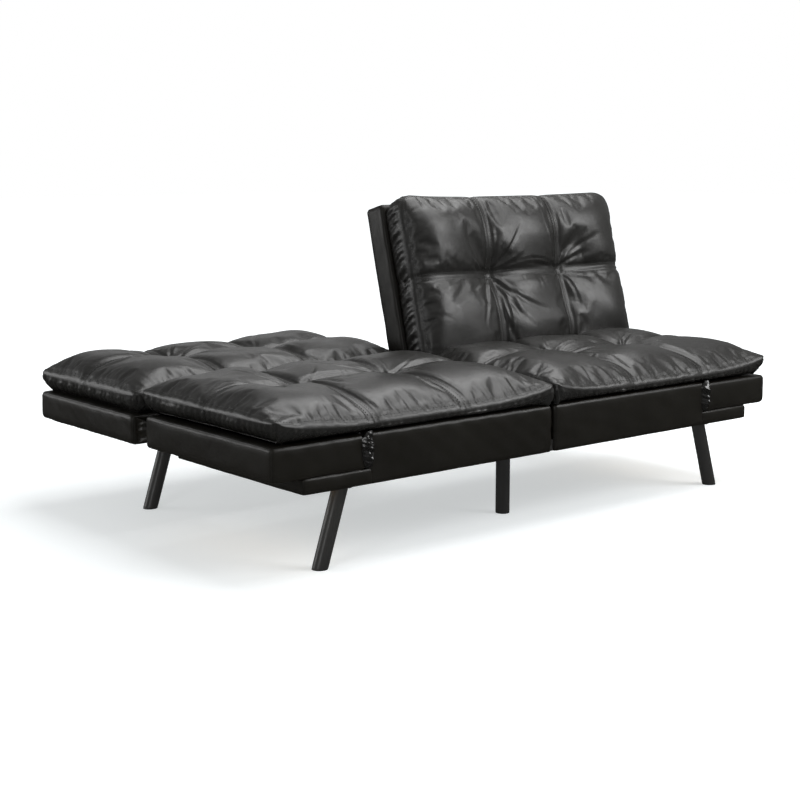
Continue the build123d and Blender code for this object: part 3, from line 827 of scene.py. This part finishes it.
def fix_normals(piece):
    """Turn every face of the piece outward."""
    mesh = bmesh.new()
    mesh.from_mesh(piece.data)
    bmesh.ops.recalc_face_normals(mesh, faces=mesh.faces)
    mesh.to_mesh(piece.data)
    mesh.free()


def build_seat_pad(side):
    """One pad that runs over the seat half and its arm panel."""
    inner, outer = 0.0035, ARM_HIGH[0] - 0.003
    front, rear = SEAT_LOW[1] - 0.012, SEAT_HIGH[1] + 0.046
    length, depth = outer - inner, rear - front
    seed = 3 if side == "left" else 14
    pad = Pad(length, depth, row=0.323, crown=0.067, seed=seed, front_drop=0.026)
    piece = pad.build(f"{side}_seat_pad")
    centre = Vector(((inner + outer) / 2, (front + rear) / 2, SEAT_HIGH[2]))
    piece.data.transform(Matrix.Translation(centre))
    if side == "left":
        piece.data.transform(Matrix.Scale(-1, 4, (1, 0, 0)))
    fix_normals(piece)
    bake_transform(piece)
    finish_piece(piece, "black_faux_leather", f"{side}_seat_cover", f"{side}_seat_foam",
                 f"{side}_arm_cover", f"{side}_arm_foam")


def build_back_pad(side):
    """The pad on one back, drawn lying flat and then put on its side."""
    if side == "left":
        past_arm, row, seed, corner, swell = -0.001, 0.308, 5, 0.026, 0.2
    else:
        past_arm, row, seed, corner, swell = 0.021, 0.298, 6, 0.065, 0.15
    inner, outer = 0.007, ARM_HIGH[0] + past_arm
    near, far = SEAT_HIGH[1] + 0.066, BACK_HIGH[1] + 0.017
    length, depth = outer - inner, far - near
    pad = Pad(length, depth, row=row, crown=0.084, seed=seed, corner=corner,
              inner_lift=0.022, swell=swell)
    piece = pad.build(f"{side}_back_pad")
    centre = Vector(((inner + outer) / 2, (near + far) / 2, BACK_HIGH[2]))
    piece.data.transform(Matrix.Translation(centre))
    turn_back(piece, side)
    fix_normals(piece)
    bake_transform(piece)
    finish_piece(piece, "black_faux_leather", f"{side}_back_cover", f"{side}_back_foam")


# ---------------------------------------------------------------- stage
CAMERA_PLACE = (-2.7787, -3.3110, 0.9872)
CAMERA_YAW, CAMERA_PITCH = -39.5, -9.415
FLOOR_HALF = 30.0


def area_light(name, place, target, size, power):
    """A rectangular softbox that faces its target."""
    light = bpy.data.lights.new(name, "AREA")
    light.shape = "RECTANGLE"
    light.size, light.size_y = size
    light.energy = power
    made = bpy.data.objects.new(name, light)
    made.location = place
    made.rotation_euler = (Vector(target) - Vector(place)).to_track_quat("-Z", "Y").to_euler()
    bpy.context.scene.collection.objects.link(made)


def build_world():
    """A soft grey studio that is plain white where the camera looks at it."""
    world = bpy.data.worlds.new("studio")
    world.use_nodes = True
    tree = world.node_tree
    sky = tree.nodes["Background"]
    sky.inputs["Color"].default_value = (1, 1, 1, 1)
    way = tree.nodes.new("ShaderNodeSeparateXYZ")
    place = tree.nodes.new("ShaderNodeTexCoord").outputs["Generated"]
    tree.links.new(place, way.inputs["Vector"])
    grey = ramp(tree, way.outputs["Z"], -0.12, 0.06, 0.06, 0.26)
    tree.links.new(grey, sky.inputs["Strength"])
    plain = add_node(tree, "ShaderNodeBackground", Strength=1.0)
    plain.inputs["Color"].default_value = (1, 1, 1, 1)
    choose = tree.nodes.new("ShaderNodeMixShader")
    seen = tree.nodes.new("ShaderNodeLightPath").outputs["Is Camera Ray"]
    tree.links.new(seen, choose.inputs["Fac"])
    tree.links.new(sky.outputs["Background"], choose.inputs[1])
    tree.links.new(plain.outputs["Background"], choose.inputs[2])
    tree.links.new(choose.outputs["Shader"], tree.nodes["World Output"].inputs["Surface"])
    bpy.context.scene.world = world


def build_stage():
    """Pale floor with a painted glow, weaker near the sofa and full far off, plain world, soft lights and the
    camera.
    """
    corners = [(x * FLOOR_HALF, y * FLOOR_HALF, 0) for x, y in ((-1, -1), (1, -1), (1, 1), (-1, 1))]
    floor = make_object("floor", corners, [(0, 1, 2, 3)], smooth=False)
    material, tree, shader = new_material("floor", (0.7, 0.72, 0.73), 0.9, specular=0.03)
    # Painted light: the floor glows faintly blue. The glow is 0.52 within 1.1 m of the middle, which sets the
    # level of the shade under the sofa, and rises to full at 3 m, which paints the far floor white.
    shader.inputs["Emission Color"].default_value = (0.965, 0.995, 1.0, 1)
    place = tree.nodes.new("ShaderNodeTexCoord").outputs["Object"]
    reach = add_node(tree, "ShaderNodeVectorMath", operation="LENGTH")
    tree.links.new(place, reach.inputs[0])
    painted_floor_glow = ramp(tree, reach.outputs["Value"], 1.1, 3.0, 0.52, 1.0)
    tree.links.new(painted_floor_glow, shader.inputs["Emission Strength"])
    floor.visible_glossy = False
    floor.data.materials.append(material)
    build_world()
    middle = (0, 0, 0.3)
    area_light("top_softbox", (0.9, -0.1, 3.2), middle, (3.6, 2.6), 112)
    area_light("rear_softbox", (2.2, 3.6, 1.9), middle, (3.4, 1.2), 7)
    area_light("front_softbox", (2.5, -3.0, 2.5), (0.3, 0, 0.5), (2.4, 1.5), 84)
    area_light("left_rear_softbox", (-3.2, 3.0, 1.1), (-0.8, 0, 0.3), (2.4, 1.2), 30)
    area_light("strip_softbox", (-3.3, -1.6, 1.3), (-0.4, 0, 0.3), (0.5, 1.8), 14)
    camera = bpy.data.cameras.new("camera")
    camera.lens = 65.85
    camera.sensor_width = 36.0
    made = bpy.data.objects.new("camera", camera)
    made.location = CAMERA_PLACE
    made.rotation_euler = (math.radians(90 + CAMERA_PITCH), 0, math.radians(CAMERA_YAW))
    bpy.context.scene.collection.objects.link(made)
    bpy.context.scene.camera = made
    bpy.context.scene.view_settings.view_transform = "Standard"


build_stage()
finish_cad_nodes()
for side_name in SIDES:
    build_boxes(side_name)
    build_gussets(side_name)
    build_seat_pad(side_name)
    build_back_pad(side_name)
